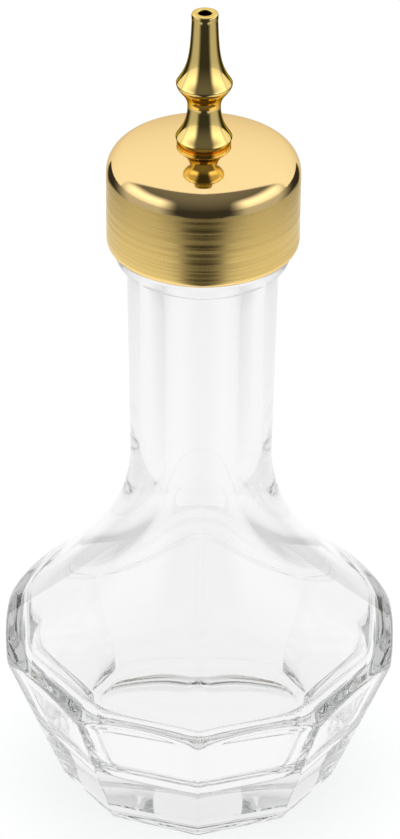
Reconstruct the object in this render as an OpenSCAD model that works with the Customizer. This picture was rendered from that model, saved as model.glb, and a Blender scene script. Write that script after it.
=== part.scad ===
// Bitters bottle: a ten-sided bottle of thick clear glass, closed by a metal screw cap that carries
// a turned dasher spout. Millimetres, +Z up, origin at the centre of the base, one corner towards -Y.

/* [Glass body] */
// Number of flat facets round the lower body
facet_count = 10; // [8:1:12]
// Diameter across the corners of the base
base_d = 42; // [39:0.5:44]
// Lean of each facet from upright, in degrees
facet_lean = 19.8; // [18:0.1:21]
// Bevel round the foot of the facets
base_bevel = 0.5; // [0.2:0.1:1]
// Largest diameter of the body, at the girdle
girdle_d = 59.6; // [58:0.2:62]
// Height of the girdle above the base
girdle_z = 21.7; // [20.5:0.1:23]
// Radius of the round over the girdle
girdle_round = 4.5; // [3:0.1:6]
// Lean of the shoulder cone from upright, in degrees
shoulder_lean = 47.7; // [45:0.1:50]
// Height of the foot of the neck above the base
neck_z = 55.3; // [53:0.1:58]
// Diameter of the shallow hollow under the base
hollow_d = 32; // [26:0.5:34]
// Depth of the shallow hollow under the base
hollow_depth = 0.9; // [0.4:0.1:1.5]

/* [Cavity] */
// Thickness of the glass floor
floor_t = 8.8; // [6:0.1:10]
// Thickness of the glass behind a facet, measured level
facet_wall = 3.5; // [2.8:0.1:4.5]
// Thickness of the glass in the shoulder
shoulder_wall = 3.4; // [2.6:0.1:4.2]
// Radius of the round between the cavity's floor and its wall
heel_round = 8.5; // [6:0.1:9.5]
// Radius of the round at the cavity's widest place
cavity_round = 3.5; // [2:0.1:4.5]
// Diameter of the neck's bore
bore_d = 10.6; // [10:0.1:11.6]
// Height at which the bore starts to widen into the shoulder
throat_z = 51; // [48:0.5:54]

/* [Neck] */
// Diameter at the foot of the neck
neck_d_low = 20.4; // [19.4:0.1:21]
// Diameter at the top of the neck
neck_d_top = 21.3; // [20:0.1:22]
// Length of the neck from its foot to the collar
neck_len = 31; // [27:0.5:36]
// Diameter of the glass collar under the cap
collar_d = 24.4; // [23.6:0.1:24.8]
// Height of the glass collar
collar_h = 2.4; // [2:0.1:3]
// Radius under the collar
collar_round = 1.1; // [0.6:0.1:1.3]
// Diameter of the finish that the cap screws on
finish_d = 21.6; // [21:0.1:22]
// Height of the finish from the collar to the lip
finish_h = 11.4; // [10.5:0.1:13]
// Round on the outer edge of the lip
lip_round = 0.8; // [0.4:0.1:1.2]

/* [Cap] */
// Outer diameter of the cap
cap_d = 26.8; // [26.4:0.1:29]
// Thickness of the cap's metal shell
shell_t = 0.6; // [0.4:0.05:0.8]
// Radius of the cap's top edge
cap_round = 3.4; // [2:0.1:3.6]
// Radius of the cap's domed top
dome_round = 43; // [36:1:90]
// Height of the rolled hem at the cap's foot
hem_h = 1; // [0.8:0.1:1.4]
// Radius of the rolled hem's outer edge
hem_round = 0.8; // [0.4:0.1:0.8]
// Gap between the glass collar and the foot of the cap
cap_gap = 0.3; // [0.3:0.1:1]
// Thickness of the inner cap's top, in its middle
inner_top_t = 2.75; // [2.4:0.05:3.4]
// Room for the thread between the finish and the inner cap
thread_room = 0.95; // [0.7:0.05:1.1]
// Gap between the shell and the inner cap
shell_fit = 0.1; // [0.05:0.05:0.15]
// Thickness of the sealing gasket
gasket_t = 1.2; // [0.8:0.1:2]
// Radial gap between the gasket and the inner cap
gasket_fit = 0.4; // [0.3:0.05:0.6]
// How far the gasket stays back from the bore's edge
gasket_setback = 0.9; // [0.6:0.1:1.4]

/* [Dasher spout] */
// Height of the spout above the cap
spout_h = 19.3; // [17:0.1:22]
// Diameter at the spout's lip
tip_d = 3.5; // [3.1:0.1:4]
// Bevel on the spout's lip
tip_bevel = 0.25; // [0.1:0.05:0.4]
// Diameter of the spout's stem, at its foot
stem_d = 4.6; // [4.3:0.1:5]
// Diameter of the spout's foot, where it stands on the cap
foot_d = 7.2; // [6.8:0.1:7.6]
// Diameter at the rim of the lower bell
low_bell_d = 7.8; // [7.6:0.1:8.4]
// Height of the lower bell's rim above the cap
low_bell_z = 0.75; // [0.5:0.05:1]
// Diameter at the rim of the upper bell
top_bell_d = 7.7; // [7.2:0.1:8.4]
// Height of the upper bell's rim above the cap
top_bell_z = 8.95; // [8.4:0.05:9.6]
// Length over which the lower bell sweeps up into the stem
low_bell_sweep = 0.8; // [0.6:0.05:1.1]
// Length over which the upper bell sweeps up into the tip
top_bell_sweep = 2.4; // [2:0.05:2.8]
// How full the upper bell's sweep is: 1 is the hollowest
top_bell_full = 1.15; // [1:0.05:1.4]
// Length over which the upper bell draws in under its rim
top_bell_fall = 1.8; // [1.4:0.1:2.2]
// Diameter of the outlet hole
outlet_d = 1.8; // [1.4:0.1:2]
// Diameter of the feed hole that is drilled up from the shank
feed_d = 3; // [2.6:0.1:3.2]
// Height above the cap at which the feed hole ends
feed_z = 7; // [5:0.1:8]
// Diameter of the shank that goes through the cap
shank_d = 5; // [4.8:0.1:5.2]
// Radial gap between the shank and each hole that it goes through
shank_fit = 0.1; // [0.05:0.05:0.15]
// How far the shank's end stands out of the nut
shank_end = 0.5; // [0.3:0.1:1]
// Thickness of the soft seal under the inner cap's top
seal_t = 0.8; // [0.6:0.1:1.2]
// Thickness of the metal washer
washer_t = 0.5; // [0.4:0.1:0.8]
// Thickness of the nut
nut_t = 2.4; // [2:0.1:3]
// Radial room between the washers and the bore
washer_room = 0.5; // [0.3:0.05:0.6]
// Radial room between the nut's corners and the bore
nut_room = 0.7; // [0.4:0.05:0.8]

/* [Hidden] */
$fn = 96;

// Extra length of a cut past the face that it opens
over = 1;

// Heights that stack up from the neck
collar_z = neck_z + neck_len;
finish_z = collar_z + collar_h;
lip_z = finish_z + finish_h;
inner_top_z = lip_z + gasket_t;
cap_top_z = inner_top_z + inner_top_t + shell_fit + shell_t;
cap_z = finish_z + cap_gap;
hem_z = cap_z + hem_h;

// Radii that follow from the diameters
base_r = base_d / 2;
girdle_r = girdle_d / 2;
bore_r = bore_d / 2;
finish_r = finish_d / 2;
cap_r = cap_d / 2;
inner_bore_r = finish_r + thread_room;
inner_r = cap_r - shell_t - shell_fit;
hem_r = inner_r - 0.3;
hole_r = shank_d / 2 + shank_fit;
washer_r = bore_r - washer_room;
nut_r = bore_r - nut_room;

// The cap's dome, its round edge, and the height of the dome where the spout's foot stands on it
dome_z = cap_top_z - dome_round;
edge_r = cap_r - cap_round;
edge_z = dome_z + sqrt(pow(dome_round - cap_round, 2) - pow(edge_r, 2));
dome_end = acos(edge_r / (dome_round - cap_round));
function dome_at(r, inset) = dome_z + sqrt(pow(dome_round - inset, 2) - pow(r, 2));
foot_z = dome_at(hole_r, 0);

// Distance from the axis to a facet at height z
base_apothem = base_r * cos(180 / facet_count);
function facet_at(z) = base_apothem + z * tan(facet_lean);

// Points along an arc, and along a cubic curve, in the plane of a profile
function arc(c, r, a0, a1, n) = [for (i = [0:n]) let (a = a0 + (a1 - a0) * i / n)
    [c[0] + r * cos(a), c[1] + r * sin(a)]];
function bezier(a, b, c, d, n) = [for (i = [0:n]) let (t = i / n, s = 1 - t)
    s * s * s * a + 3 * s * s * t * b + 3 * s * t * t * c + t * t * t * d];

// Outer shoulder: the round over the girdle, then one curve that runs from the cone into the neck
out_dir = [-sin(shoulder_lean), cos(shoulder_lean)];
out_normal = [cos(shoulder_lean), sin(shoulder_lean)];
girdle_centre = [girdle_r - girdle_round, girdle_z];
cone_top = girdle_centre + girdle_round * out_normal;
neck_foot = [neck_d_low / 2, neck_z];
cone_pull = 0.56 * (cone_top[0] - neck_foot[0]) / sin(shoulder_lean);
neck_pull = 0.4 * (neck_z - cone_top[1]);
shoulder = bezier(cone_top, cone_top + cone_pull * out_dir,
    neck_foot - [0, neck_pull], neck_foot, 16);

// Cavity: a wall that leans with the facets, a round at the widest place, and the inside of the shoulder
wall_normal = [cos(facet_lean), -sin(facet_lean)];
wall_level = (base_apothem - facet_wall) * cos(facet_lean) - cavity_round;
cone_level = cone_top * out_normal - shoulder_wall - cavity_round;
level_det = wall_normal[0] * out_normal[1] - wall_normal[1] * out_normal[0];
cavity_centre = [
    (wall_level * out_normal[1] - cone_level * wall_normal[1]) / level_det,
    (wall_normal[0] * cone_level - out_normal[0] * wall_level) / level_det
];
heel_z = floor_t + heel_round;
heel_r = facet_at(heel_z) - facet_wall - heel_round / cos(facet_lean);
cavity_top = cavity_centre + cavity_round * out_normal;
throat = [bore_r, throat_z];
inner_cone_pull = 0.52 * (cavity_top[0] - bore_r) / sin(shoulder_lean);
throat_pull = 0.42 * (throat_z - cavity_top[1]);
inner_shoulder = bezier(cavity_top, cavity_top + inner_cone_pull * out_dir,
    throat - [0, throat_pull], throat, 16);

// Radius of the spout at height h above the cap: a slender taper out of two turned bells
function stem_at(h) = (stem_d + (tip_d - stem_d) * h / spout_h) / 2;
function low_bell(h) = (low_bell_d / 2 - stem_at(low_bell_z)) * exp((low_bell_z - h) / low_bell_sweep);
function top_bell(h) = (top_bell_d / 2 - stem_at(top_bell_z)) * (h > top_bell_z
    ? exp(-pow((h - top_bell_z) / top_bell_sweep, top_bell_full))
    : exp(-pow((top_bell_z - h) / top_bell_fall, 2)));
function spout_at(h) = stem_at(h) + low_bell(h) + top_bell(h);
spout_top = spout_h - tip_bevel;
// The steps get wider away from each rim
spout_side = concat(
    [[foot_d / 2, 0]],
    [for (i = [0:20]) let (h = low_bell_z + (top_bell_z - low_bell_z) * pow(i / 20, 1.5)) [spout_at(h), h]],
    [for (i = [1:20]) let (h = top_bell_z + (spout_top - top_bell_z) * pow(i / 20, 1.5)) [spout_at(h), h]]
);

// Depths under the cap's top of the stack that holds the spout
seal_z = inner_top_z - seal_t;
washer_z = seal_z - washer_t;
nut_z = washer_z - nut_t;
shank_z = nut_z - shank_end;

// Outside of the bottle before the facets are cut
module bottle_blank() {
    finish_edge = 0.3;
    rotate_extrude() polygon(concat(
        [[0, 0], [girdle_r, 0]],
        arc(girdle_centre, girdle_round, 0, shoulder_lean, 6),
        [for (i = [1:len(shoulder) - 1]) shoulder[i]],
        [[neck_d_top / 2, collar_z]],
        arc([collar_d / 2 - collar_round, collar_z + collar_round], collar_round, -90, 0, 5),
        [[collar_d / 2, finish_z - finish_edge], [collar_d / 2 - finish_edge, finish_z], [finish_r, finish_z]],
        arc([finish_r - lip_round, lip_z - lip_round], lip_round, 0, 90, 4),
        [[0, lip_z]]
    ));
}

// The plane-sided cuts that leave the leaning facets and the bevel at their foot
module facet_cuts() {
    block = 3 * girdle_d;
    for (i = [0:facet_count - 1]) rotate([0, 0, -90 + (i + 0.5) * 360 / facet_count]) {
        translate([base_apothem, 0, 0]) rotate([0, facet_lean, 0])
            translate([0, -block / 2, -block / 2]) cube(block);
        translate([facet_at(base_bevel) - base_bevel, 0, 0]) rotate([0, 45, 0])
            translate([0, -block / 2, -block / 2]) cube(block);
    }
}

module bottle_cavity() {
    edge = 0.5;
    rotate_extrude() polygon(concat(
        [[0, floor_t]],
        arc([heel_r, heel_z], heel_round, -90, -facet_lean, 8),
        arc(cavity_centre, cavity_round, -facet_lean, shoulder_lean, 6),
        [for (i = [1:len(inner_shoulder) - 1]) inner_shoulder[i]],
        [[bore_r, lip_z - edge], [bore_r + edge, lip_z], [bore_r + edge, lip_z + over], [0, lip_z + over]]
    ));
}

// The hollow that leaves a flat ring for the bottle to stand on
module base_hollow() {
    ball_r = (pow(hollow_d / 2, 2) + pow(hollow_depth, 2)) / (2 * hollow_depth);
    rim_angle = asin(hollow_d / 2 / ball_r);
    rotate_extrude() polygon(concat(
        [[0, -over], [hollow_d / 2, -over]],
        arc([0, hollow_depth - ball_r], ball_r, 90 - rim_angle, 90, 6)
    ));
}

module glass_bottle() {
    color([0.86, 0.93, 0.92, 0.45]) difference() {
        bottle_blank();
        facet_cuts();
        bottle_cavity();
        base_hollow();
    }
}

// The cap's outline from its side over the round edge to the hole in the dome, at a depth under its skin
function cap_outline(inset) = concat(
    arc([edge_r, edge_z], cap_round - inset, 0, dome_end, 8),
    [for (i = [1:8]) let (r = hole_r + (edge_r - hole_r) * (1 - i / 8)) [r, dome_at(r, inset)]]
);
function reversed(points) = [for (i = [len(points) - 1:-1:0]) points[i]];

module cap_shell() {
    color([0.93, 0.72, 0.42]) rotate_extrude() polygon(concat(
        reversed(cap_outline(0)),
        arc([cap_r - hem_round, cap_z + hem_round], hem_round, 0, -90, 5),
        [[hem_r, cap_z], [hem_r, hem_z], [cap_r - shell_t, hem_z]],
        cap_outline(shell_t)
    ));
}

module inner_cap() {
    color([0.86, 0.86, 0.84]) rotate_extrude() polygon(concat(
        [[hole_r, inner_top_z], [inner_bore_r, inner_top_z], [inner_bore_r, hem_z], [inner_r, hem_z]],
        cap_outline(shell_t + shell_fit)
    ));
}

// A flat ring between two radii, standing on height z
module flat_ring(outer, inner, t, z) {
    translate([0, 0, z]) difference() {
        cylinder(h = t, r = outer);
        translate([0, 0, -over]) cylinder(h = t + 2 * over, r = inner);
    }
}

module sealing_gasket() {
    color([0.93, 0.93, 0.9])
        flat_ring(inner_bore_r - gasket_fit, bore_r + gasket_setback, gasket_t, lip_z);
}

module spout_seal() {
    color([0.85, 0.85, 0.82]) flat_ring(washer_r, hole_r, seal_t, seal_z);
}

module spout_washer() {
    color([0.75, 0.76, 0.78]) flat_ring(washer_r, hole_r, washer_t, washer_z);
}

module spout_nut() {
    color([0.75, 0.76, 0.78]) translate([0, 0, nut_z]) difference() {
        cylinder(h = nut_t, r = nut_r, $fn = 6);
        translate([0, 0, -over]) cylinder(h = nut_t + 2 * over, r = hole_r);
    }
}

module dasher_spout() {
    color([0.93, 0.72, 0.42]) difference() {
        union() {
            translate([0, 0, foot_z]) rotate_extrude() polygon(concat(
                [[0, 0]],
                spout_side,
                [[tip_d / 2 - tip_bevel, spout_h], [0, spout_h]]
            ));
            translate([0, 0, shank_z]) cylinder(h = foot_z - shank_z + low_bell_z / 2, d = shank_d);
        }
        translate([0, 0, foot_z]) cylinder(h = spout_h + over, d = outlet_d);
        translate([0, 0, shank_z - over]) cylinder(h = foot_z + feed_z - shank_z + over, d = feed_d);
    }
}

glass_bottle();
cap_shell();
inner_cap();
sealing_gasket();
dasher_spout();
spout_seal();
spout_washer();
spout_nut();
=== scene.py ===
"""Looks of the ten-sided bitters bottle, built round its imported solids. Metres, +Z up."""

import math

import bmesh
import bpy
import numpy as np
from mathutils import Matrix, Vector


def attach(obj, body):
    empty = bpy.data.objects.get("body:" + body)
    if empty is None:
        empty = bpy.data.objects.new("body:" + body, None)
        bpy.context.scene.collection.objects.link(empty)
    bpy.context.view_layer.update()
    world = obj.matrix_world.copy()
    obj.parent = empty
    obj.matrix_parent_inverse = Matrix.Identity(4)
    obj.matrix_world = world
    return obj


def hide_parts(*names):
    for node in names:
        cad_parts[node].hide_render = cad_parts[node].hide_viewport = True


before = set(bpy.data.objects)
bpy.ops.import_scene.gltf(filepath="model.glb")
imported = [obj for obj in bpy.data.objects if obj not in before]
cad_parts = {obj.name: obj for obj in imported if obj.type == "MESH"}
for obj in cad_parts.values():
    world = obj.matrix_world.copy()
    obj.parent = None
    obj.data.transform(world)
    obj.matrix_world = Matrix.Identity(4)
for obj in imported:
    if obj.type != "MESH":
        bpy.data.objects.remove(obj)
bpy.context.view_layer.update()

MM = 0.001
TAU = 2 * math.pi

# The sizes of the solids, in millimetres
FACETS = 10
BASE_R = 21.0
LEAN = math.radians(19.8)
BASE_BEVEL = 0.5
GIRDLE_R, GIRDLE_Z, GIRDLE_ROUND = 29.8, 21.7, 4.5
SHOULDER_LEAN = math.radians(47.7)
NECK_Z, NECK_R_LOW, NECK_R_TOP = 55.3, 10.2, 10.65
HOLLOW_R, HOLLOW_DEPTH = 16.0, 0.9
FLOOR_T, FACET_WALL, SHOULDER_WALL = 8.8, 3.5, 3.4
HEEL_ROUND, CAVITY_ROUND = 8.5, 3.5
BORE_R, THROAT_Z = 5.3, 51.0
COLLAR_Z, COLLAR_R, COLLAR_H, COLLAR_ROUND = 86.3, 12.2, 2.4, 1.1
FINISH_Z, FINISH_R, LIP_Z, LIP_ROUND = 88.7, 10.8, 100.1, 0.8
CAP_R, CAP_Z, CAP_TOP_Z, CAP_ROUND, DOME_ROUND = 13.4, 89.0, 104.75, 3.4, 43.0
SHELL_T, SHELL_FIT, HEM_H, HEM_ROUND = 0.6, 0.1, 1.0, 0.8
HOLE_R, INNER_TOP_Z, INNER_BORE_R = 2.6, 101.3, 11.75
INNER_CORNER = 0.06
THREAD_PITCH, THREAD_TURNS, THREAD_H, THREAD_W = 3.2, 1.5, 0.68, 1.9


# ---------------------------------------------------------------- meshes

def add_object(name, bm):
    """A piece made from a bmesh that is in millimetres, smooth-shaded."""
    bmesh.ops.recalc_face_normals(bm, faces=bm.faces)
    for v in bm.verts:
        v.co *= MM
    for f in bm.faces:
        f.smooth = True
    mesh = bpy.data.meshes.new(name)
    bm.to_mesh(mesh)
    bm.free()
    piece = bpy.data.objects.new(name, mesh)
    bpy.context.scene.collection.objects.link(piece)
    return piece


def skin_rings(rings, closed=False):
    """A bmesh over rings of points. A ring of one point is a pole; closed joins the last ring to the first."""
    bm = bmesh.new()
    made = [[bm.verts.new(p) for p in ring] for ring in rings]
    pairs = list(zip(made, made[1:])) + ([(made[-1], made[0])] if closed else [])
    for a, b in pairs:
        n = max(len(a), len(b))
        for i in range(n):
            j = (i + 1) % n
            if len(a) == 1:
                bm.faces.new((a[0], b[i], b[j]))
            elif len(b) == 1:
                bm.faces.new((a[i], b[0], a[j]))
            else:
                bm.faces.new((a[i], b[i], b[j], a[j]))
    return bm


def ring(radius, z, angles):
    """Points round the axis. The radius is a number or one number per angle, and so is z."""
    r = np.broadcast_to(radius, angles.shape)
    h = np.broadcast_to(z, angles.shape)
    return [(float(a * c), float(a * s), float(b)) for a, b, c, s in zip(r, h, np.cos(angles), np.sin(angles))]


def turn(name, profile, segments=160, closed=True):
    """A turned piece from a closed profile of (radius, height) points."""
    angles = np.arange(segments) * TAU / segments
    rings = [[(0, 0, z)] if r == 0 else ring(r, z, angles) for r, z in profile]
    return add_object(name, skin_rings(rings, closed))


def arc(centre, radius, start, end, n):
    """Points along an arc, with its angles in degrees."""
    return [
        (centre[0] + radius * math.cos(math.radians(a)), centre[1] + radius * math.sin(math.radians(a)))
        for a in np.linspace(start, end, n + 1)
    ]


def bezier(p0, p1, p2, p3, n):
    """Points along a cubic curve."""
    t = np.linspace(0, 1, n + 1)[:, None]
    s = 1 - t
    curve = s ** 3 * np.array(p0) + 3 * s * s * t * np.array(p1) + 3 * s * t * t * np.array(p2) + t ** 3 * np.array(p3)
    return [(float(r), float(z)) for r, z in curve]


def soft_min(a, b, k):
    """The smaller of two values, rounded over where they cross."""
    h = np.maximum(k - np.abs(a - b), 0) / k
    return np.minimum(a, b) - h * h * k / 4


def smooth_step(x):
    x = np.clip(x, 0, 1)
    return x * x * (3 - 2 * x)


def thread_height(z, angle, start_z, turns, phase=0.0):
    """Height of one rounded thread ridge at height z and angle round the axis, fading in and out."""
    best = np.zeros_like(angle)
    for k in range(-1, int(turns) + 2):
        along = (angle - phase) / TAU + k
        centre = start_z + along * THREAD_PITCH
        shape = smooth_step(1.35 * (1 - np.abs(z - centre) / (THREAD_W / 2)))
        fade = smooth_step(along / 0.09) * smooth_step((turns - along) / 0.09)
        best = np.maximum(best, THREAD_H * shape * fade)
    return best


# ---------------------------------------------------------------- glass bottle

def outer_curve():
    """The turned outside of the bottle from the girdle up to the foot of the neck."""
    centre = np.array([GIRDLE_R - GIRDLE_ROUND, GIRDLE_Z])
    normal = np.array([math.cos(SHOULDER_LEAN), math.sin(SHOULDER_LEAN)])
    along = np.array([-math.sin(SHOULDER_LEAN), math.cos(SHOULDER_LEAN)])
    top = centre + GIRDLE_ROUND * normal
    foot = np.array([NECK_R_LOW, NECK_Z])
    pull = 0.56 * (top[0] - foot[0]) / math.sin(SHOULDER_LEAN)
    drop = np.array([0, 0.4 * (NECK_Z - top[1])])
    girdle = arc(centre, GIRDLE_ROUND, 0, math.degrees(SHOULDER_LEAN), 120)
    return girdle + bezier(top, top + pull * along, foot - drop, foot, 600)[1:]


def cavity_curve():
    """The turned inside of the bottle from the middle of its floor up to the throat."""
    apothem = BASE_R * math.cos(math.pi / FACETS)
    wall_n = np.array([math.cos(LEAN), -math.sin(LEAN)])
    cone_n = np.array([math.cos(SHOULDER_LEAN), math.sin(SHOULDER_LEAN)])
    along = np.array([-math.sin(SHOULDER_LEAN), math.cos(SHOULDER_LEAN)])
    cone_top = np.array([GIRDLE_R - GIRDLE_ROUND, GIRDLE_Z]) + GIRDLE_ROUND * cone_n
    levels = np.array([
        (apothem - FACET_WALL) * math.cos(LEAN) - CAVITY_ROUND,
        cone_top @ cone_n - SHOULDER_WALL - CAVITY_ROUND,
    ])
    centre = np.linalg.solve(np.array([wall_n, cone_n]), levels)
    heel_z = FLOOR_T + HEEL_ROUND
    heel_r = apothem + heel_z * math.tan(LEAN) - FACET_WALL - HEEL_ROUND / math.cos(LEAN)
    top = centre + CAVITY_ROUND * cone_n
    throat = np.array([BORE_R, THROAT_Z])
    pull = 0.52 * (top[0] - BORE_R) / math.sin(SHOULDER_LEAN)
    drop = np.array([0, 0.42 * (THROAT_Z - top[1])])
    lean = math.degrees(LEAN)
    floor = [(heel_r * t, FLOOR_T) for t in (0.02, 0.1, 0.25, 0.45, 0.65, 0.82, 0.94)]
    heel = arc((heel_r, heel_z), HEEL_ROUND, -90, -lean, 26)
    widest = arc(centre, CAVITY_ROUND, -lean, math.degrees(SHOULDER_LEAN), 18)
    wall = [tuple(np.array(heel[-1]) * (1 - t) + np.array(widest[0]) * t) for t in (0.25, 0.5, 0.75)]
    return [(0, FLOOR_T)] + floor + heel + wall + widest + bezier(top, top + pull * along, throat - drop, throat, 44)[1:]


def facet_angles():
    """Angles round the axis, closer together beside the corners of the facets."""
    half = [18, 17.75, 17.5, 17.2, 16.8, 16.2, 15.2, 13.6, 11.4, 8.8, 6, 3]
    steps = [-a for a in half] + [0] + half[:0:-1]
    return np.radians([-90 + 18 + 36 * i + a for i in range(FACETS) for a in steps])


def make_glass():
    angles = facet_angles()
    local = (angles - math.radians(-90)) % (TAU / FACETS) - math.pi / FACETS
    apothem = BASE_R * math.cos(math.pi / FACETS)
    corner_soft = 0.2 / 24
    across = soft_min(1 / np.cos(local), 1 / np.cos(TAU / FACETS - np.abs(local)), corner_soft)
    curve = np.array(outer_curve())

    def facet_r(z):
        rise = (apothem + z * math.tan(LEAN)) * across
        foot = (apothem + BASE_BEVEL * math.tan(LEAN)) * across - 1.2 * BASE_BEVEL + z
        return soft_min(rise, foot, 0.3)

    def blank_r(z):
        return np.interp(z, curve[:, 1], curve[:, 0])

    # Height at which each column's facet runs out into the turned shoulder
    low, high = np.full(angles.shape, GIRDLE_Z), np.full(angles.shape, GIRDLE_Z + 6)
    for _ in range(40):
        mid = (low + high) / 2
        under = facet_r(mid) < blank_r(mid)
        low, high = np.where(under, mid, low), np.where(under, high, mid)
    edge_z = (low + high) / 2

    rings = [[(0, 0, HOLLOW_DEPTH)]]
    for t in (0.04, 0.12, 0.28, 0.45, 0.58, 0.68, 0.76, 0.82, 0.87, 0.91, 0.94, 0.965, 0.985):
        rings.append(ring(HOLLOW_R * t, HOLLOW_DEPTH * (1 - t ** 6), angles))
    foot_r = facet_r(0)
    for t in (0, 0.03, 0.3, 0.6, 0.9, 0.98):
        rings.append(ring(HOLLOW_R + (foot_r - HOLLOW_R) * t, 0 if t else 0.02, angles))
    for z in (0.0, 0.06, 0.14, 0.24, 0.34, 0.44, 0.54, 0.66, 0.8, 1.0, 1.4, 2.2, 3.6, 5.6):
        rings.append(ring(facet_r(z), z, angles))
    for t in np.linspace(0.1, 1, 8):
        z = 5.6 + (edge_z - 0.75 - 5.6) * t
        rings.append(ring(facet_r(z), z, angles))
    for d in (-0.5, -0.36, -0.26, -0.18, -0.11, -0.05, 0, 0.05, 0.11, 0.18, 0.26, 0.36, 0.5, 0.7):
        z = edge_z + d
        rings.append(ring(soft_min(facet_r(z), blank_r(z), 0.45), z, angles))
    for t in np.linspace(0.15, 1, 7):
        z = (edge_z + 0.7) * (1 - t) + 27.5 * t
        rings.append(ring(blank_r(z), z, angles))
    for z in np.linspace(27.5, NECK_Z, 48)[1:]:
        rings.append(ring(blank_r(z), float(z), angles))
    for t in np.linspace(0, 1, 10)[1:]:
        r = NECK_R_LOW + (NECK_R_TOP - NECK_R_LOW) * t
        rings.append(ring(r, NECK_Z + (COLLAR_Z - 0.25 - NECK_Z) * t, angles))
    collar = (
        [(NECK_R_TOP + 0.04, COLLAR_Z - 0.1), (NECK_R_TOP + 0.15, COLLAR_Z)]
        + arc((COLLAR_R - COLLAR_ROUND, COLLAR_Z + COLLAR_ROUND), COLLAR_ROUND, -88, 0, 10)
        + arc((COLLAR_R - 0.6, FINISH_Z - 0.6), 0.6, 0, 90, 6)
        + [(FINISH_R + 0.3, FINISH_Z), (FINISH_R + 0.1, FINISH_Z + 0.06), (FINISH_R, FINISH_Z + 0.25)]
    )
    rings += [ring(r, z, angles) for r, z in collar]
    for z in np.linspace(FINISH_Z + 0.4, LIP_Z - LIP_ROUND - 0.1, 48):
        ridge = thread_height(z, angles + math.pi / 2, FINISH_Z + 2.6, THREAD_TURNS)
        rings.append(ring(FINISH_R + ridge, float(z), angles))
    lip = arc((FINISH_R - LIP_ROUND, LIP_Z - LIP_ROUND), LIP_ROUND, 0, 90, 8)
    lip += arc((BORE_R + 0.5, LIP_Z - 0.5), 0.5, 90, 180, 6)
    rings += [ring(r, z, angles) for r, z in lip]
    rings += [ring(BORE_R, float(z), angles) for z in np.linspace(LIP_Z - 1, THROAT_Z + 1, 10)]
    # The inside follows the facets, with softer corners, and runs out into a round in the shoulder
    inner = soft_min(1 / np.cos(local), 1 / np.cos(TAU / FACETS - np.abs(local)), INNER_CORNER)
    for r, z in reversed(cavity_curve()):
        share = 1 - smooth_step((z - 23) / 9)
        rings.append(ring(r * (1 + (inner - 1) * share), z, angles) if r > 0 else [(0, 0, z)])
    return add_object("glass_body", skin_rings(rings))


# ---------------------------------------------------------------- cap and spout

EDGE_R = CAP_R - CAP_ROUND
DOME_Z = CAP_TOP_Z - DOME_ROUND
EDGE_Z = DOME_Z + math.sqrt((DOME_ROUND - CAP_ROUND) ** 2 - EDGE_R ** 2)
DOME_END = math.degrees(math.acos(EDGE_R / (DOME_ROUND - CAP_ROUND)))


def dome_at(r, inset=0.0):
    return DOME_Z + math.sqrt((DOME_ROUND - inset) ** 2 - r ** 2)


def cap_outline(inset, n):
    """The cap's side, round edge and dome up to its hole, at a depth under its skin."""
    dome = [HOLE_R + (EDGE_R - HOLE_R) * (1 - t) for t in np.linspace(0, 1, n + 1)[1:]]
    return arc((EDGE_R, EDGE_Z), CAP_ROUND - inset, 0, DOME_END, n) + [(r, dome_at(r, inset)) for r in dome]


def make_shell():
    side = [(CAP_R, z) for z in (CAP_Z + 5, CAP_Z + 3, CAP_Z + 1.6, CAP_Z + 1.1)]
    hem = arc((CAP_R - HEM_ROUND, CAP_Z + HEM_ROUND), HEM_ROUND, 0, -90, 10)
    inner_r = CAP_R - SHELL_T
    under = [(inner_r - 0.4, CAP_Z), (inner_r - 0.4, CAP_Z + HEM_H), (inner_r, CAP_Z + HEM_H)]
    return turn("cap_skin", cap_outline(0, 16)[::-1] + side + hem + under + cap_outline(SHELL_T, 16), 192)


def make_liner():
    """The inner cap, with the thread inside it that grips the bottle's."""
    angles = np.arange(192) * TAU / 192
    outline = cap_outline(SHELL_T + SHELL_FIT, 8)
    wall_r = outline[0][0]
    rings = [ring(HOLE_R, INNER_TOP_Z, angles), ring(INNER_BORE_R - 0.3, INNER_TOP_Z, angles)]
    for z in np.linspace(INNER_TOP_Z - 0.3, CAP_Z + HEM_H + 0.4, 44):
        ridge = thread_height(z, angles + math.pi / 2, FINISH_Z + 2.6 - THREAD_PITCH / 2, THREAD_TURNS + 1)
        rings.append(ring(INNER_BORE_R - 0.9 * ridge, float(z), angles))
    rings += [ring(r, CAP_Z + HEM_H, angles) for r in (INNER_BORE_R + 0.2, wall_r - 0.2)]
    rings += [ring(wall_r, CAP_Z + HEM_H + 0.2, angles)]
    rings += [ring(r, z, angles) for r, z in outline]
    return add_object("cap_liner", skin_rings(rings, True))


SPOUT_H, TIP_R, STEM_R, FOOT_R = 19.3, 1.75, 2.3, 3.6
LOW_BELL_R, LOW_BELL_H, TOP_BELL_R, TOP_BELL_H = 3.9, 0.75, 3.85, 8.95
OUTLET_R, FEED_R, FEED_H, SHANK_R, SHANK_Z = 0.9, 1.5, 7.0, 2.5, 97.1
FOOT_Z = dome_at(HOLE_R)


def spout_radius(h):
    """Radius of the spout at a height above the cap: a slender taper with two turned bells."""
    def stem(x):
        return STEM_R + (TIP_R - STEM_R) * x / SPOUT_H
    low = (LOW_BELL_R - stem(LOW_BELL_H)) * math.exp(-((h - LOW_BELL_H) / 1.9) ** 1.25)
    d = h - TOP_BELL_H
    top = math.exp(-(d / 2.3) ** 1.15) if d > 0 else math.exp(-(d / 1.9) ** 2)
    lip = 0.06 * math.exp(-((h - SPOUT_H + 0.45) / 0.35) ** 2)
    return stem(h) + low + (TOP_BELL_R - stem(TOP_BELL_H)) * top + lip


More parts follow.
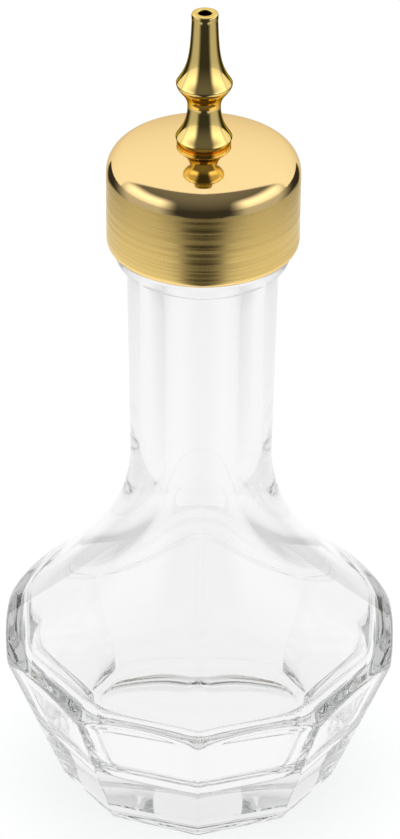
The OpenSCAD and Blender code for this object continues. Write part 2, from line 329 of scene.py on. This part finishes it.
def make_spout():
    rim = [(FOOT_R, 0), (FOOT_R + 0.14, 0.04), (FOOT_R + 0.2, LOW_BELL_H - 0.2), (LOW_BELL_R - 0.05, LOW_BELL_H - 0.1)]
    rim += [(LOW_BELL_R - 0.015, LOW_BELL_H - 0.04), (LOW_BELL_R - 0.02, LOW_BELL_H + 0.01)]
    heights = [LOW_BELL_H + 0.04 + (TOP_BELL_H - LOW_BELL_H) * t ** 1.5 for t in np.linspace(0, 0.98, 60)]
    heights += [TOP_BELL_H + (SPOUT_H - 0.25 - TOP_BELL_H) * t ** 1.3 for t in np.linspace(0, 1, 70)]
    side = [(r, FOOT_Z + h) for r, h in rim + [(spout_radius(h), h) for h in heights]]
    top = FOOT_Z + SPOUT_H
    tip_r = side[-1][0]
    tip = arc((tip_r - 0.25, top - 0.25), 0.25, 20, 90, 5) + arc((OUTLET_R + 0.15, top - 0.15), 0.15, 90, 180, 4)
    bore = [(OUTLET_R, top - 2), (OUTLET_R, FOOT_Z + FEED_H + 0.4), (FEED_R, FOOT_Z + FEED_H - 0.3)]
    bore += [(FEED_R, SHANK_Z + 0.2), (FEED_R + 0.2, SHANK_Z), (SHANK_R - 0.3, SHANK_Z), (SHANK_R - 0.02, SHANK_Z + 0.3)]
    shank = []
    for i in range(14):
        z = SHANK_Z + 0.45 + 0.3 * i
        if z > INNER_TOP_Z - 0.3:
            break
        shank.append((SHANK_R - (0.02 if i % 2 else 0.2), z))
    shank += [(SHANK_R - 0.02, INNER_TOP_Z), (SHANK_R - 0.02, FOOT_Z - 0.3), (SHANK_R, FOOT_Z - 0.1)]
    return turn("spout_turned", side + tip + bore + shank, 144)


# ---------------------------------------------------------------- materials

def new_material(name):
    m = bpy.data.materials.new(name)
    m.use_nodes = True
    nodes, links = m.node_tree.nodes, m.node_tree.links
    return m, nodes, links, nodes["Principled BSDF"]


def noise(nodes, links, scale, detail=3.0, stretch=(1, 1, 1)):
    """A noise over the object's own coordinates, stretched along its axes."""
    coords = nodes.new("ShaderNodeTexCoord")
    mapping = nodes.new("ShaderNodeMapping")
    mapping.inputs["Scale"].default_value = stretch
    tex = nodes.new("ShaderNodeTexNoise")
    tex.inputs["Scale"].default_value = scale
    tex.inputs["Detail"].default_value = detail
    links.new(coords.outputs["Object"], mapping.inputs["Vector"])
    links.new(mapping.outputs["Vector"], tex.inputs["Vector"])
    return tex


def ramp(nodes, links, source, low, high):
    """A value that runs from low to high with the source's."""
    span = nodes.new("ShaderNodeMapRange")
    span.inputs["From Min"].default_value, span.inputs["From Max"].default_value = 0.3, 0.7
    span.inputs["To Min"].default_value, span.inputs["To Max"].default_value = low, high
    links.new(source, span.inputs["Value"])
    return span.outputs["Result"]


def add_bump(nodes, links, shader, height, strength, distance):
    bump = nodes.new("ShaderNodeBump")
    bump.inputs["Strength"].default_value = strength
    bump.inputs["Distance"].default_value = distance
    links.new(height, bump.inputs["Height"])
    links.new(bump.outputs["Normal"], shader.inputs["Normal"])


def glass_material():
    m, nodes, links, shader = new_material("clear_glass_look")
    shader.inputs["Base Color"].default_value = (1, 1, 1, 1)
    shader.inputs["Transmission Weight"].default_value = 1
    shader.inputs["IOR"].default_value = 1.5
    shader.inputs["Roughness"].default_value = 0.022
    waves = noise(nodes, links, 60, 1.0)
    add_bump(nodes, links, shader, waves.outputs["Fac"], 0.06, 0.0006)
    # Light for the floor goes through the glass with little loss, as it does through real clear glass
    out = nodes["Material Output"]
    path = nodes.new("ShaderNodeLightPath")
    through = nodes.new("ShaderNodeBsdfTransparent")
    through.inputs["Color"].default_value = (0.9, 0.92, 0.92, 1)
    either = nodes.new("ShaderNodeMath")
    either.operation = "MAXIMUM"
    links.new(path.outputs["Is Shadow Ray"], either.inputs[0])
    links.new(path.outputs["Is Diffuse Ray"], either.inputs[1])
    mix = nodes.new("ShaderNodeMixShader")
    links.new(either.outputs["Value"], mix.inputs["Fac"])
    links.new(shader.outputs["BSDF"], mix.inputs[1])
    links.new(through.outputs["BSDF"], mix.inputs[2])
    links.new(mix.outputs["Shader"], out.inputs["Surface"])
    # Thick glass takes a little of the light that crosses it
    depth = nodes.new("ShaderNodeVolumeAbsorption")
    depth.inputs["Color"].default_value = (0.5, 0.52, 0.51, 1)
    depth.inputs["Density"].default_value = 7
    links.new(depth.outputs["Volume"], out.inputs["Volume"])
    return m


def gold_material(name, colour, edge, rough_low, rough_high, brushed=False):
    """Gold plate. The edge is what it sends back where it turns away from the eye; a dark edge is painted shade along
    the outline.
    """
    m, nodes, links, shader = new_material(name)
    shader.inputs["Specular Tint"].default_value = (*edge, 1)
    shader.inputs["Base Color"].default_value = (*colour, 1)
    shader.inputs["Metallic"].default_value = 1
    tex = noise(nodes, links, 450, 2.5, (0.02, 0.02, 4)) if brushed else noise(nodes, links, 260, 4.0)
    links.new(ramp(nodes, links, tex.outputs["Fac"], rough_low, rough_high), shader.inputs["Roughness"])
    if brushed:
        shader.inputs["Anisotropic"].default_value = 0.8
        tangent = nodes.new("ShaderNodeTangent")
        tangent.direction_type, tangent.axis = "RADIAL", "Z"
        links.new(tangent.outputs["Tangent"], shader.inputs["Tangent"])
    add_bump(nodes, links, shader, tex.outputs["Fac"], 0.05 if brushed else 0.03, 0.00005)
    return m


def plain_material(name, colour, rough_low, rough_high, scale, bump, metallic=0.0):
    m, nodes, links, shader = new_material(name)
    tex = noise(nodes, links, scale, 4.0)
    mixed = nodes.new("ShaderNodeMix")
    mixed.data_type = "RGBA"
    mixed.inputs["A"].default_value = (*[c * 0.85 for c in colour], 1)
    mixed.inputs["B"].default_value = (*colour, 1)
    links.new(tex.outputs["Fac"], mixed.inputs["Factor"])
    links.new(mixed.outputs["Result"], shader.inputs["Base Color"])
    shader.inputs["Metallic"].default_value = metallic
    links.new(ramp(nodes, links, tex.outputs["Fac"], rough_low, rough_high), shader.inputs["Roughness"])
    add_bump(nodes, links, shader, tex.outputs["Fac"], bump, 0.0001)
    return m


def dress(piece, material, body, slot, *nodes):
    """Gives a piece its material, and says what it rides on and what it replaces. The slot it stands for is not used.
    """
    piece.data.materials.clear()
    piece.data.materials.append(material)
    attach(piece, body)
    if nodes:
        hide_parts(*nodes)


GLASS = glass_material()
GOLD_TOP = gold_material("gold_polished", (1.0, 0.74, 0.345), (0.7, 0.62, 0.5), 0.05, 0.09)
# The turned spout's very dark edge tint is painted shade: it darkens the spout's outline where it turns away from the
# eye
GOLD_TURNED = gold_material("gold_turned", (1.0, 0.755, 0.27), (0.2, 0.14, 0.06), 0.07, 0.13)
GOLD_BRUSHED = gold_material("gold_brushed", (1.0, 0.72, 0.25), (1, 1, 1), 0.13, 0.4, True)

dress(make_glass(), GLASS, "bottle", "clear_glass", "glass_bottle")
shell = make_shell()
dress(shell, GOLD_TOP, "cap", "gold_metal", "cap_shell")
shell.data.materials.append(GOLD_BRUSHED)
for face in shell.data.polygons:
    r = math.hypot(face.center.x, face.center.y)
    if r > (CAP_R - 0.02) * MM and CAP_Z * MM < face.center.z < EDGE_Z * MM:
        face.material_index = 1
dress(make_liner(), plain_material("white_plastic_look", (0.8, 0.8, 0.78), 0.3, 0.5, 900, 0.2), "cap",
      "white_plastic", "inner_cap")
spout = make_spout()
dress(spout, GOLD_TURNED, "cap", "gold_metal", "dasher_spout")
# The spout's bore is painted near black: painted shade down the hole
spout.data.materials.append(plain_material("bore_painted_shade", (0.05, 0.03, 0.012), 0.4, 0.6, 900, 0.2, 1.0))
for face in spout.data.polygons:
    r = math.hypot(face.center.x, face.center.y)
    if r < (OUTLET_R + 0.01) * MM or (r < (FEED_R + 0.01) * MM and face.center.z < (FOOT_Z + FEED_H + 0.1) * MM):
        face.material_index = 1

for node, colour, rough, scale, metallic in (
    ("sealing_gasket", (0.75, 0.73, 0.68), 0.6, 1200, 0.0),
    ("spout_seal", (0.05, 0.05, 0.05), 0.6, 1200, 0.0),
    ("spout_washer", (0.55, 0.56, 0.58), 0.3, 700, 1.0),
    ("spout_nut", (0.55, 0.56, 0.58), 0.3, 700, 1.0),
):
    look = plain_material(node + "_look", colour, rough * 0.7, rough, scale, 0.2, metallic)
    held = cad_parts[node]
    held.data.materials.clear()
    held.data.materials.append(look)


# ---------------------------------------------------------------- studio

WORLD_LIGHT, FLOOR_GLOW = 0.25, 0.5
# How far the lit backdrop, the lit floor behind and the unlit floor in front reach sideways for each metre of depth,
# and how much further the backdrop reaches for each metre of height
BACK_SPREAD, FLOOR_SPREAD, FRONT_SPREAD, BACK_RISE = 3.4, 0.7, 0.64, 2.2
# Strength of the room's unlit part, its backdrop, its sides and its soft lights, mirrored and through glass
MIRRORED = (0.035, 1.0, 0.5, 1.35)
THROUGH = (0.7, 0.98)


def look_at(obj, target):
    obj.rotation_euler = (Vector(target) - obj.location).to_track_quat("-Z", "Y").to_euler()


def area_light(name, place, target, size, power):
    lamp = bpy.data.lights.new(name, "AREA")
    lamp.shape = "RECTANGLE"
    lamp.size, lamp.size_y = size
    lamp.energy = power
    obj = bpy.data.objects.new(name, lamp)
    obj.location = place
    obj.visible_glossy = obj.visible_transmission = False
    look_at(obj, target)
    bpy.context.scene.collection.objects.link(obj)
    return obj


def math_node(nodes, links, operation, *values):
    """A Math node. Each value is a number or a socket."""
    node = nodes.new("ShaderNodeMath")
    node.operation = operation
    for i, value in enumerate(values):
        if isinstance(value, (int, float)):
            node.inputs[i].default_value = value
        else:
            links.new(value, node.inputs[i])
    return node.outputs["Value"]


def smooth(nodes, links, value, start, end):
    """0 to 1, eased, as a value runs from start to end."""
    span = nodes.new("ShaderNodeMapRange")
    span.interpolation_type = "SMOOTHSTEP"
    span.inputs["From Min"].default_value, span.inputs["From Max"].default_value = start, end
    links.new(value, span.inputs["Value"])
    return span.outputs["Result"]


def room(nodes, links, output):
    """Where a place or a direction lies: sideways, in depth and height, from the axis and in each part of the room."""
    def calc(*args):
        return math_node(nodes, links, *args)
    coords = nodes.new("ShaderNodeTexCoord")
    split = nodes.new("ShaderNodeSeparateXYZ")
    links.new(coords.outputs[output], split.inputs["Vector"])
    x, y, z = split.outputs["X"], split.outputs["Y"], split.outputs["Z"]
    away = calc("ABSOLUTE", x)
    far = calc("SQRT", calc("ADD", calc("MULTIPLY", x, x), calc("MULTIPLY", y, y)))
    # Cosine of the angle round the axis from the front
    front = calc("DIVIDE", calc("MULTIPLY", y, -1), calc("MAXIMUM", far, 0.001))
    sides = calc("MULTIPLY", smooth(nodes, links, front, -0.55, 0.0),
                 calc("SUBTRACT", 1, smooth(nodes, links, front, 0.6, 0.9)))
    behind = calc("SUBTRACT", calc("MULTIPLY", y, BACK_SPREAD if output == "Generated" else FLOOR_SPREAD), away)
    ahead = calc("SUBTRACT", calc("MULTIPLY", y, -FRONT_SPREAD), away)
    return calc, away, y, z, far, sides, behind, ahead


def floor_light(nodes, links, low, high, dim, glow):
    """Strength of the glow painted on the white table for mirrored rays: lit round the bottle and behind it, dim in
    front and far away.
    """
    calc, _, y, _, far, sides, behind, ahead = room(nodes, links, "Object")
    near = calc("SUBTRACT", 1, smooth(nodes, links, far, 0.13, 0.25))
    back = smooth(nodes, links, behind, -0.03, 0.04)
    beside = calc("MULTIPLY", sides, (dim - low) / (high - low))
    beside = calc("MULTIPLY", beside, calc("ADD", calc("MULTIPLY", smooth(nodes, links, far, 0.3, 1.5), 0.2), 1))
    lit = calc("MAXIMUM", calc("MAXIMUM", near, back), beside)
    lit = calc("MULTIPLY", lit, calc("SUBTRACT", 1, smooth(nodes, links, ahead, 0.0, 0.06)))
    return calc("ADD", calc("MULTIPLY", lit, high - low), low)


def world_light(nodes, links, low, high, dim, glow):
    """Strength of the room: a lit backdrop, a soft light at each side of the front, and dim elsewhere."""
    calc, away, y, z, _, sides, behind, _ = room(nodes, links, "Generated")
    back = calc("MULTIPLY", smooth(nodes, links, calc("ADD", behind, calc("MULTIPLY", z, BACK_RISE)), -0.1, 0.15),
                smooth(nodes, links, calc("SUBTRACT", y, calc("MULTIPLY", away, 0.35)), -0.17, -0.02))
    wide = calc("SUBTRACT", 1, smooth(nodes, links, z, 0.35, 0.72))
    band = calc("MULTIPLY", smooth(nodes, links, z, -0.35, 0.35), wide)
    beside = calc("ADD", calc("MULTIPLY", wide, dim - low), calc("MULTIPLY", band, glow - dim))
    lit = calc("MAXIMUM", calc("MULTIPLY", back, high - low), calc("MULTIPLY", sides, beside))
    high_up = calc("MULTIPLY", calc("MAXIMUM", z, 0), 0.15)
    return calc("ADD", calc("MAXIMUM", lit, high_up), low)


def seen_through(nodes, links, output, width, depth):
    """Strength of the glow painted for what the glass shows: white under and behind the bottle, greyer at its sides and
    in front.
    """
    calc, away, y, _, _, _, _, _ = room(nodes, links, output)
    side = calc("SUBTRACT", 1, smooth(nodes, links, away, *width))
    lit = calc("MULTIPLY", side, smooth(nodes, links, y, *depth))
    return calc("ADD", calc("MULTIPLY", lit, THROUGH[1] - THROUGH[0]), THROUGH[0])


def by_ray(nodes, links, plain, camera, glossy, transmission):
    """One shader for each kind of ray: what lights the object, and what is seen straight, mirrored or through glass."""
    path = nodes.new("ShaderNodeLightPath")
    result = plain
    for output, shader in (("Is Glossy Ray", glossy), ("Is Transmission Ray", transmission), ("Is Camera Ray", camera)):
        mix = nodes.new("ShaderNodeMixShader")
        links.new(path.outputs[output], mix.inputs["Fac"])
        links.new(result, mix.inputs[1])
        links.new(shader, mix.inputs[2])
        result = mix.outputs["Shader"]
    return result


def white(nodes, links, kind, strength):
    """A white glow of a strength that is a number or a socket."""
    node = nodes.new(kind)
    node.inputs["Color"].default_value = (1, 1, 1, 1)
    if isinstance(strength, (int, float)):
        node.inputs["Strength"].default_value = strength
    else:
        links.new(strength, node.inputs["Strength"])
    return node.outputs[0]


def make_floor():
    bm = bmesh.new()
    bm.faces.new([bm.verts.new(p) for p in ((-3, -3, 0), (3, -3, 0), (3, 3, 0), (-3, 3, 0))])
    mesh = bpy.data.meshes.new("floor")
    bm.to_mesh(mesh)
    bm.free()
    obj = bpy.data.objects.new("floor", mesh)
    obj.location = (0, 0, -0.0001)
    bpy.context.scene.collection.objects.link(obj)
    m, nodes, links, shader = new_material("floor_look")
    shader.inputs["Base Color"].default_value = (0.8, 0.8, 0.8, 1)
    shader.inputs["Roughness"].default_value = 1
    shader.inputs["Specular IOR Level"].default_value = 0
    both = nodes.new("ShaderNodeAddShader")
    links.new(shader.outputs["BSDF"], both.inputs[0])
    # The table's far end, where the lamps reach less, glows more, so that it stays white from every side
    calc, _, _, _, far, _, _, _ = room(nodes, links, "Object")
    glow = calc("ADD", calc("MULTIPLY", smooth(nodes, links, far, 0.25, 1.2), 1 - FLOOR_GLOW), FLOOR_GLOW)
    links.new(white(nodes, links, "ShaderNodeEmission", glow), both.inputs[1])
    # For rays mirrored in the metal and rays through the glass the floor shows only a glow: painted light and shade,
    # not lamplight
    mirrored = white(nodes, links, "ShaderNodeEmission", floor_light(nodes, links, *MIRRORED))
    through = white(nodes, links, "ShaderNodeEmission", seen_through(nodes, links, "Object", (0.05, 0.22), (-0.2, -0.07)))
    result = by_ray(nodes, links, shader.outputs["BSDF"], both.outputs["Shader"], mirrored, through)
    links.new(result, nodes["Material Output"].inputs["Surface"])
    mesh.materials.append(m)
    return obj


def make_world():
    world = bpy.data.worlds.new("studio")
    bpy.context.scene.world = world
    world.use_nodes = True
    nodes, links = world.node_tree.nodes, world.node_tree.links
    kind = "ShaderNodeBackground"
    mirrored = white(nodes, links, kind, world_light(nodes, links, *MIRRORED))
    through = white(nodes, links, kind, seen_through(nodes, links, "Generated", (0.2, 0.8), (-0.5, 0.4)))
    result = by_ray(nodes, links, white(nodes, links, kind, WORLD_LIGHT), white(nodes, links, kind, 1.0), mirrored, through)
    links.new(result, nodes["World Output"].inputs["Surface"])


def make_camera():
    """The photograph's viewpoint, found from the corners of the base and of the facet tops."""
    pitch, roll, yaw = math.radians(32.5), math.radians(0.51), math.radians(-0.03)
    forward = Vector((math.sin(yaw) * math.cos(pitch), math.cos(yaw) * math.cos(pitch), -math.sin(pitch)))
    target = Vector((-0.00019, 0, 0.05964))
    data = bpy.data.cameras.new("camera")
    data.sensor_width = 36
    data.lens = 3500 * 36 / 839
    data.clip_start, data.clip_end = 0.01, 20
    cam = bpy.data.objects.new("camera", data)
    turn_to = forward.to_track_quat("-Z", "Y").to_matrix().to_4x4() @ Matrix.Rotation(roll, 4, "Z")
    cam.matrix_world = Matrix.Translation(target - forward * 0.5013) @ turn_to
    bpy.context.scene.collection.objects.link(cam)
    bpy.context.scene.camera = cam


make_camera()
make_world()
make_floor()
area_light("left_softbox", (-0.75, -0.45, 0.55), (0, 0, 0.06), (0.5, 0.8), 2.2)
area_light("right_softbox", (0.75, -0.45, 0.55), (0, 0, 0.06), (0.5, 0.8), 2.2)
area_light("top_softbox", (0, 0.35, 1.0), (0, 0, 0.05), (0.9, 0.7), 3.5)

bpy.context.scene.view_settings.view_transform = "Standard"
# The thick glass turns light round many times inside before it lets it out
cycles = bpy.context.scene.cycles
cycles.max_bounces, cycles.glossy_bounces, cycles.transmission_bounces = 32, 32, 32
